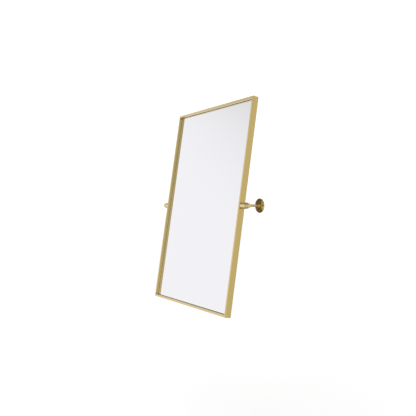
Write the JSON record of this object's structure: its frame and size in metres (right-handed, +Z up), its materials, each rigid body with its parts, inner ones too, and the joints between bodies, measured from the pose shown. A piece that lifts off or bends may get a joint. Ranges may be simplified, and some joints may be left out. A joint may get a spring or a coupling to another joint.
{
  "type": "pivot wall mirror",
  "caption": "Rectangular wall mirror in a thin brushed-brass tube frame that tilts between two wall posts with round clamping knobs.",
  "frame": {"origin": "on the wall, midway between the two wall plates, at the height of the pivots: the centre of the four wall screw holes", "axes": "+Z up, +X towards the right-hand post as seen from the room, +Y into the wall, so the mirror hangs on the -Y side"},
  "size_m": [0.7042, 0.1699, 0.9067],
  "materials": {
    "brushed_frame": "brushed champagne brass, fine straight grain along each side",
    "turned_brass": "satin champagne brass, turned",
    "silvered_glass": "silvered float glass with a ground edge",
    "brown_hardboard": "brown hardboard",
    "foam_tape": "black foam tape",
    "zinc_plated_steel": "bright zinc plated",
    "steel_screws": "plain steel",
    "die_cast_keys": "as cast",
    "nylon_washers": "natural nylon"
  },
  "bodies": {
    "wall_posts": {"left_inner_washer": "nylon_washers", "left_outer_washer": "nylon_washers", "left_barrel": "turned_brass", "left_rod": "turned_brass", "left_flange": "turned_brass", "left_grub_screw": "steel_screws", "left_wall_plate": "zinc_plated_steel", "right_inner_washer": "nylon_washers", "right_outer_washer": "nylon_washers", "right_barrel": "turned_brass", "right_rod": "turned_brass", "right_flange": "turned_brass", "right_grub_screw": "steel_screws", "right_wall_plate": "zinc_plated_steel"},
    "mirror_frame": {"top_rail": "brushed_frame", "bottom_rail": "brushed_frame", "left_stile": "brushed_frame", "right_stile": "brushed_frame", "key_top_left": "die_cast_keys", "key_top_right": "die_cast_keys", "key_bottom_left": "die_cast_keys", "key_bottom_right": "die_cast_keys", "key_screws": "steel_screws", "mirror_glass": "silvered_glass", "foam_tapes": "foam_tape", "backing_board": "brown_hardboard", "board_tabs": "zinc_plated_steel", "tab_screws": "steel_screws", "left_pivot_nut": "zinc_plated_steel", "right_pivot_nut": "zinc_plated_steel"},
    "left_knob": {"left_stud": "zinc_plated_steel", "left_knob": "turned_brass"},
    "right_knob": {"right_stud": "zinc_plated_steel", "right_knob": "turned_brass"}
  },
  "joints": [
    {"name": "tilt", "type": "hinge", "parent": "wall_posts", "child": "mirror_frame", "pos_m": [0, -0.0855, 0], "axis": [1, 0, 0], "range_deg": [0, 18]},
    {"name": "left_knob_turn", "type": "hinge", "parent": "mirror_frame", "child": "left_knob", "pos_m": [-0.329, -0.0855, 0], "axis": [-1, 0, 0], "range_deg": [0, 180]},
    {"name": "right_knob_turn", "type": "hinge", "parent": "mirror_frame", "child": "right_knob", "pos_m": [0.329, -0.0855, 0], "axis": [1, 0, 0], "range_deg": [0, 180]}
  ]
}
